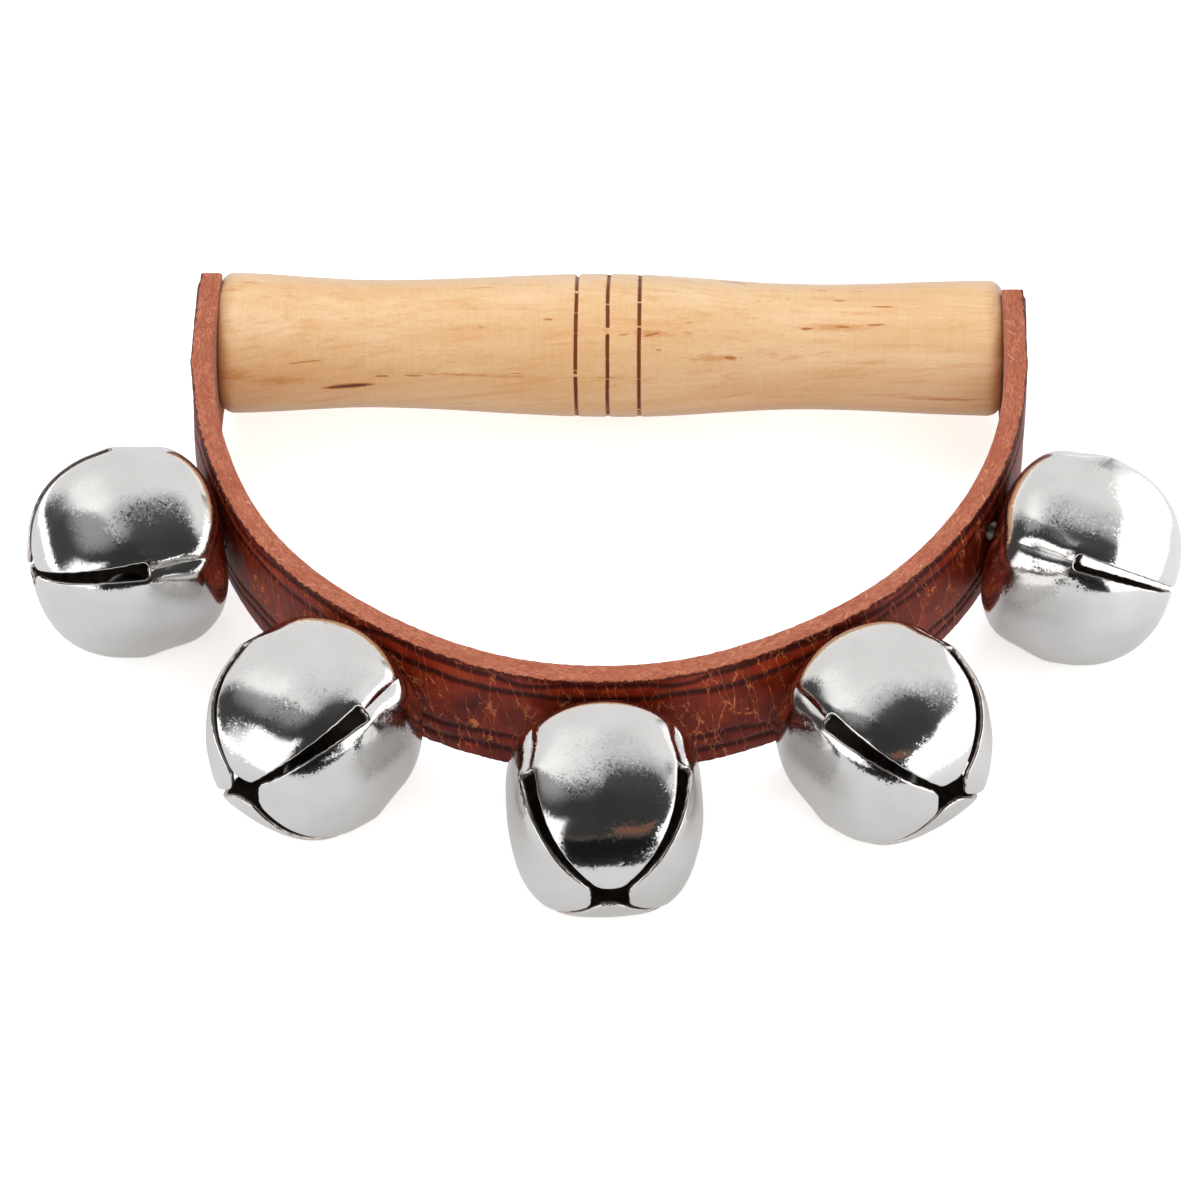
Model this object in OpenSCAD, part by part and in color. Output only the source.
// Hand-held sleigh bells: a turned wooden grip, a leather strap bent into a D
// from one end of the grip to the other, and five slit sheet-metal bells
// riveted to the outside of the strap. Each bell holds a loose steel pellet.
//
// Frame: millimetres. The origin is the middle of the grip, on its axis.
// X runs along the grip from left to right, -Y points from the grip to the
// bells, and Z is up, across the strap's width: the object lies flat.

/* [Handle] */
// Length of the turned grip
handle_len = 120; // [112:1:130]
// Radius at the belly in the middle
handle_r_belly = 11.0; // [10.6:0.1:12]
// Radius at the finger waist on the left
handle_r_waist_left = 9.8; // [9.2:0.1:10.4]
// Radius at the finger waist on the right
handle_r_waist_right = 9.6; // [9.2:0.1:10.4]
// Distance of the left waist from the middle
handle_waist_left = 36; // [28:1:40]
// Distance of the right waist from the middle
handle_waist_right = 31; // [28:1:40]
// Radius at the left end, before its edge is rounded
handle_r_left = 10.8; // [10.2:0.1:11.2]
// Radius at the right end, before its edge is rounded
handle_r_right = 10.4; // [10.2:0.1:11.2]
// Radius of the rounded end edges
handle_edge_r = 2.2; // [1:0.1:3]
// Distance between the turned decorative lines
line_gap = 4.8; // [4:0.1:6]
// Depth of each turned line
line_depth = 0.55; // [0.3:0.05:0.8]
// Approximate width of each turned line at the surface
line_w = 0.9; // [0.6:0.1:1.4]

/* [Strap] */
// Width of the leather
strap_w = 20.8; // [18:0.2:24]
// Thickness of the leather
strap_t = 3.4; // [3:0.1:4]
// Distance from the grip's axis to the centre of the strap's arc
arc_drop = 12.6; // [8:0.2:16]
// How far the left tab reaches past the grip's axis
tab_left = 5.2; // [4.5:0.1:8]
// How far the right tab reaches past the grip's axis
tab_right = 4.0; // [4:0.1:8]

/* [Bells] */
// Largest radius of a bell
bell_r = 15.2; // [14:0.1:15.8]
// Thickness of the sheet a bell is pressed from
sheet_t = 0.7; // [0.6:0.05:1]
// Radius of the small hole where the four petals meet
tip_hole_r = 2.1; // [1.6:0.1:2.6]
// Width of a slit next to the tip hole
slit_w_tip = 1.2; // [0.8:0.1:1.6]
// Width of a slit at its wide end
slit_w_end = 2.3; // [1.6:0.1:2.6]
// Radius of the round relief at the end of each slit
relief_r = 1.4; // [1.2:0.05:1.6]
// Radius of the loose pellet inside a bell
pellet_r = 4.0; // [3.2:0.1:5]

/* [Bell stations round the arc, in degrees from the middle] */
// Bell 1, nearest the left end of the grip
at_1 = -65; // [-68:0.5:-62]
// Bell 2
at_2 = -32; // [-35:0.5:-30]
// Bell 3, in the middle
at_3 = 0; // [-2:0.5:2]
// Bell 4
at_4 = 31.5; // [30:0.5:35]
// Bell 5, nearest the right end of the grip
at_5 = 65; // [62:0.5:68]

/* [Bell lean along the strap, in degrees] */
// Bell 1 (each bell is riveted by hand and stands a little off square)
lean_1 = -7; // [-9:0.5:9]
// Bell 2
lean_2 = -5.5; // [-9:0.5:9]
// Bell 3
lean_3 = 4; // [-9:0.5:9]
// Bell 4
lean_4 = 6.5; // [-9:0.5:9]
// Bell 5
lean_5 = 8.5; // [-9:0.5:9]

/* [Bell droop across the strap, in degrees] */
// Bell 1
droop_1 = -4.5; // [-8:0.5:8]
// Bell 2
droop_2 = -3.5; // [-8:0.5:8]
// Bell 3
droop_3 = 5; // [-8:0.5:8]
// Bell 4
droop_4 = -4; // [-8:0.5:8]
// Bell 5
droop_5 = 8; // [-8:0.5:8]

/* [Bell rise above the middle of the strap's width] */
// Bell 1
rise_1 = 0; // [-3:0.1:3]
// Bell 2
rise_2 = 0; // [-3:0.1:3]
// Bell 3
rise_3 = -0.7; // [-3:0.1:3]
// Bell 4
rise_4 = 0.3; // [-3:0.1:3]
// Bell 5
rise_5 = 2.5; // [-3:0.1:3]

/* [Bell turn about its rivet, in degrees] */
// Bell 1, where 0 sets the four slits diagonal to the strap
turn_1 = -8; // [-45:1:45]
// Bell 2
turn_2 = 3; // [-45:1:45]
// Bell 3
turn_3 = -1; // [-45:1:45]
// Bell 4
turn_4 = 0; // [-45:1:45]
// Bell 5
turn_5 = -3; // [-45:1:45]

/* [Rivets and screws] */
// Radius of a rivet's shank
shank_r = 1.5; // [1.3:0.1:1.8]
// Radius of a rivet's head, inside the bell
head_r = 3.2; // [2.6:0.1:3.6]
// Radius of the burr washer on the inside of the strap
washer_r = 4.0; // [3.4:0.1:4.4]
// Thickness of the burr washer
washer_t = 0.8; // [0.6:0.1:1]
// Radius of a wood screw's countersunk head
head_rim = 3.6; // [3.2:0.1:4]
// Length of the wood screws
screw_len = 22; // [18:1:26]

/* [Hidden] */

$fn = 96;
clearance = 0.05;            // between parts that fit together
face_gap = 0.02;             // between a washer and the faces it bears on
reach = 100;                 // a cut this long passes the whole strap
half_len = handle_len / 2;   // inner face of each strap tab
arc_r_in = half_len;
arc_r_out = arc_r_in + strap_t;

screw_metal = [0.78, 0.76, 0.72];

// Per-bell placement, bell 1 first
station = [at_1, at_2, at_3, at_4, at_5];
lean = [lean_1, lean_2, lean_3, lean_4, lean_5];
droop = [droop_1, droop_2, droop_3, droop_4, droop_5];
turn = [turn_1, turn_2, turn_3, turn_4, turn_5];
rise = [rise_1, rise_2, rise_3, rise_4, rise_5];

// Heights in a bell's own frame: z = 0 at its base, +Z out along its rivet
bell_play = 0.45;            // gap between the leather and the bell's base
bell_mid = 14;               // centre of the round body
base_r = 20;                 // radius of the flatter dome at the base
slit_end = bell_mid + 0.1;   // wide end of the slits
washer_seat = 0.3;           // how deep a washer's seat is cut into the leather
washer_outer = -(bell_play + strap_t) + washer_seat - face_gap;
washer_inner = washer_outer - washer_t;
// The head's underside, just clear of the sheet at the head's edge
head_base = base_r - sqrt(pow(base_r - sheet_t, 2) - head_r * head_r) + 0.09;

// ------------------------------------------------------------------ frames --

// Runs a shape that is revolved about Z along the grip's axis instead.
module along_grip() rotate([0, 90, 0]) children();

// Moves a shape from the frame of bell i, counted from 0, into place.
module at_bell(i)
    translate([(arc_r_out + bell_play) * sin(station[i]),
               -arc_drop - (arc_r_out + bell_play) * cos(station[i]),
               rise[i]])
        rotate([90 + droop[i], 0, station[i] + lean[i]]) children();

// ------------------------------------------------------------------ handle --

line_shift = -0.3;              // place of the middle turned line along the grip
line_spread = 1.6;              // cutter's half width at its mouth, per line width
line_mouth = 1;                 // height of the cutter's mouth above the belly
pilot_r = 1.42;
pilot_depth = screw_len - 3;

// Smooth step between two values as part goes from 0 to 1.
function ease(from, to, part) = from + (to - from) * (1 - cos(180 * part)) / 2;

// Radius of the grip at a distance x along it, before its ends are rounded.
function grip_r(x) =
    x < -handle_waist_left
        ? ease(handle_r_left, handle_r_waist_left, (x + half_len) / (half_len - handle_waist_left)) :
    x < 0
        ? ease(handle_r_waist_left, handle_r_belly, (x + handle_waist_left) / handle_waist_left) :
    x < handle_waist_right
        ? ease(handle_r_belly, handle_r_waist_right, x / handle_waist_right) :
    ease(handle_r_waist_right, handle_r_right,
         (x - handle_waist_right) / (half_len - handle_waist_right));

// Half section of the grip: [radius, distance along the axis].
function grip_section(tip, edge, bands = 44, steps = 6) =
    let(inset = tip - edge) concat(
        [[0, -tip]],
        [for (i = [0:steps]) let(angle = 90 * i / steps)
            [grip_r(-inset) - edge + edge * sin(angle), -inset - edge * cos(angle)]],
        [for (i = [1:bands - 1]) let(x = -inset + 2 * inset * i / bands) [grip_r(x), x]],
        [for (i = [0:steps]) let(angle = 90 * i / steps)
            [grip_r(inset) - edge + edge * cos(angle), inset + edge * sin(angle)]],
        [[0, tip]]);

// The bore each wood screw cuts its thread in.
module pilot() translate([0, 0, half_len - pilot_depth]) cylinder(r = pilot_r, h = pilot_depth + 1);

module handle() color([0.86, 0.68, 0.44]) along_grip() difference() {
    rotate_extrude() polygon(grip_section(half_len - clearance, handle_edge_r));
    for (k = [-1:1])
        translate([0, 0, line_shift + k * line_gap]) rotate_extrude() polygon([
            [handle_r_belly - line_depth, 0],
            [handle_r_belly + line_mouth, -line_w * line_spread],
            [handle_r_belly + line_mouth, line_w * line_spread]]);
    pilot();
    mirror([0, 0, 1]) pilot();
}

// ------------------------------------------------------------------ screws --

screw_shank_r = 1.95;                   // plain shank, under the head
screw_face = half_len + strap_t - 0.15; // head's face, just below the leather's surface
screw_head_h = 2.2;
screw_cone_depth = 1.95;                // from the face down to the foot of the cone
screw_rim_h = 0.3;                      // cylindrical edge above the cone
screw_head_overlap = 0.2;               // shank's reach into the head
thread_root_r = 1.4;
thread_crest_r = 1.9;
thread_pitch = 1.6;
thread_flat = 0.2;                      // bare root on each side of a ridge
thread_end = 4;                         // no ridges this close to the tip
point_len = 3;
recess_len = 3.8;                       // each arm of the cross recess
recess_w = 0.7;
recess_depth = 1.1;
recess_turn = 20;

// Half section of the threaded stem, with one ridge per pitch and a point.
function thread_section(stem) = concat(
    [[0, 0], [thread_root_r, 0]],
    [for (i = [0:floor((stem - thread_end) / thread_pitch) - 1]) let(z = -thread_pitch * i)
        each [[thread_root_r, z - thread_flat],
              [thread_crest_r, z - thread_pitch / 2],
              [thread_root_r, z - thread_pitch + thread_flat]]],
    [[thread_root_r, -stem + point_len], [0, -stem]]);

// Half section of a countersunk head. With a gap it is that much larger in
// radius, and runs out past the leather to serve as a cutter.
function countersink(gap = 0) =
    let(top = screw_face + (gap > 0 ? 2 : 0), bottom = screw_face - screw_head_h) [
        [0, bottom],
        [screw_shank_r + gap, bottom],
        [screw_shank_r + gap, screw_face - screw_cone_depth],
        [head_rim + gap, screw_face - screw_rim_h],
        [head_rim + gap, top],
        [0, top]];

// A cross-recessed wood screw that stands along +Z, its head sunk in the leather.
module wood_screw() difference() {
    union() {
        rotate_extrude() polygon(countersink());
        translate([0, 0, half_len])
            cylinder(r = screw_shank_r, h = screw_face - half_len - screw_head_h + screw_head_overlap);
        // lifted a little so that the stem overlaps the shank
        translate([0, 0, half_len + 0.01])
            rotate_extrude() polygon(thread_section(screw_len - strap_t));
    }
    for (angle = [0, 90]) rotate([0, 0, angle + recess_turn])
        translate([-recess_len / 2, -recess_w / 2, screw_face - recess_depth])
            cube([recess_len, recess_w, 3]);
}

module screw_right() color(screw_metal) along_grip() wood_screw();
module screw_left() color(screw_metal) mirror([1, 0, 0]) along_grip() wood_screw();

// ------------------------------------------------------------------- strap --

// Straight side of the strap, from the arc past the grip's axis; x is its left face.
module side(x, tab)
    translate([x, -arc_drop, -strap_w / 2]) cube([strap_t, arc_drop + tab, strap_w]);

module strap() color([0.55, 0.23, 0.13]) difference() {
    union() {
        translate([0, -arc_drop, -strap_w / 2]) difference() {
            cylinder(r = arc_r_out, h = strap_w);
            translate([0, 0, -1]) cylinder(r = arc_r_in, h = strap_w + 2);
            translate([-reach, 0, -1]) cube([2 * reach, reach, strap_w + 2]);
        }
        side(-arc_r_out, tab_left);
        side(arc_r_in, tab_right);
    }
    // one countersunk hole per screw
    translate([-reach, 0, 0]) rotate([0, 90, 0])
        cylinder(r = screw_shank_r + clearance, h = 2 * reach);
    for (m = [0, 1]) mirror([m, 0, 0])
        along_grip() rotate_extrude() polygon(countersink(clearance));
    // one hole per rivet, and the seat its washer is pressed into
    for (i = [0:4]) at_bell(i) {
        translate([0, 0, -8]) cylinder(r = shank_r + clearance, h = 12);
        translate([0, 0, washer_outer - 3 + face_gap]) cylinder(r = washer_r + 0.3, h = 3);
    }
}

// ------------------------------------------------------------------- bells --

// A bell's outer form, inset all round: a round body on a flatter dome.
module bell_body(inset) intersection() {
    translate([0, 0, bell_mid]) sphere(r = bell_r - inset);
    translate([0, 0, base_r]) sphere(r = base_r - inset);
}

// A pair of opposite slits, with the round relief at their wide ends.
module slit_pair() {
    cut = 60;
    tip = bell_mid + bell_r;
    rotate([90, 0, 0]) linear_extrude(height = cut, center = true) polygon([
        [-slit_w_end / 2, slit_end], [slit_w_end / 2, slit_end],
        [slit_w_tip / 2, tip], [slit_w_tip / 2, tip + 4],
        [-slit_w_tip / 2, tip + 4], [-slit_w_tip / 2, tip]]);
    translate([0, cut / 2, slit_end]) rotate([90, 0, 0]) cylinder(r = relief_r, h = cut);
}

module bell(i) color([0.82, 0.82, 0.84]) at_bell(i) rotate([0, 0, turn[i]]) difference() {
    bell_body(0);
    bell_body(sheet_t);
    rotate([0, 0, 45]) slit_pair();
    rotate([0, 0, -45]) slit_pair();
    translate([0, 0, bell_mid + 5]) cylinder(r = tip_hole_r, h = 20);
    translate([0, 0, -5]) cylinder(r = shank_r + clearance, h = 8);
}

// The pellet lies on the low side of its bell.
module pellet(i) color([0.62, 0.62, 0.64]) at_bell(i)
    translate([0, -(bell_r - sheet_t - pellet_r - clearance), bell_mid]) sphere(r = pellet_r);

// ------------------------------------------------------------------ rivets --

peen_r = 2.5;       // end of the rivet, peened over the washer
peen_dome = 1.0;
head_dome = 0.9;
rim_h = 0.3;        // straight edge under both domes

// Half section of a rivet: peened end, shank, and domed head inside the bell.
function rivet_section(steps = 6) = concat(
    [[0, washer_inner - rim_h - peen_dome]],
    [for (i = [1:steps]) let(angle = 90 * i / steps)
        [peen_r * sin(angle), washer_inner - rim_h - peen_dome * cos(angle)]],
    [[peen_r, washer_inner - face_gap], [shank_r, washer_inner - face_gap],
     [shank_r, head_base], [head_r, head_base], [head_r, head_base + rim_h]],
    [for (i = [1:steps]) let(angle = 90 * i / steps)
        [head_r * cos(angle), head_base + rim_h + head_dome * sin(angle)]]);

module bell_rivet(i) color([0.74, 0.74, 0.76]) at_bell(i)
    rotate_extrude() polygon(rivet_section());

module rivet_washer(i) color([0.72, 0.72, 0.74]) at_bell(i)
    translate([0, 0, washer_inner]) difference() {
        cylinder(r = washer_r, h = washer_t);
        translate([0, 0, -1]) cylinder(r = shank_r + clearance, h = washer_t + 2);
    }

// ------------------------------------------------------------------- nodes --

module bell_1() bell(0);
module bell_2() bell(1);
module bell_3() bell(2);
module bell_4() bell(3);
module bell_5() bell(4);
module pellet_1() pellet(0);
module pellet_2() pellet(1);
module pellet_3() pellet(2);
module pellet_4() pellet(3);
module pellet_5() pellet(4);
module bell_rivet_1() bell_rivet(0);
module bell_rivet_2() bell_rivet(1);
module bell_rivet_3() bell_rivet(2);
module bell_rivet_4() bell_rivet(3);
module bell_rivet_5() bell_rivet(4);
module rivet_washer_1() rivet_washer(0);
module rivet_washer_2() rivet_washer(1);
module rivet_washer_3() rivet_washer(2);
module rivet_washer_4() rivet_washer(3);
module rivet_washer_5() rivet_washer(4);

handle();
strap();
screw_left();
screw_right();
bell_1();
bell_2();
bell_3();
bell_4();
bell_5();
pellet_1();
pellet_2();
pellet_3();
pellet_4();
pellet_5();
bell_rivet_1();
bell_rivet_2();
bell_rivet_3();
bell_rivet_4();
bell_rivet_5();
rivet_washer_1();
rivet_washer_2();
rivet_washer_3();
rivet_washer_4();
rivet_washer_5();
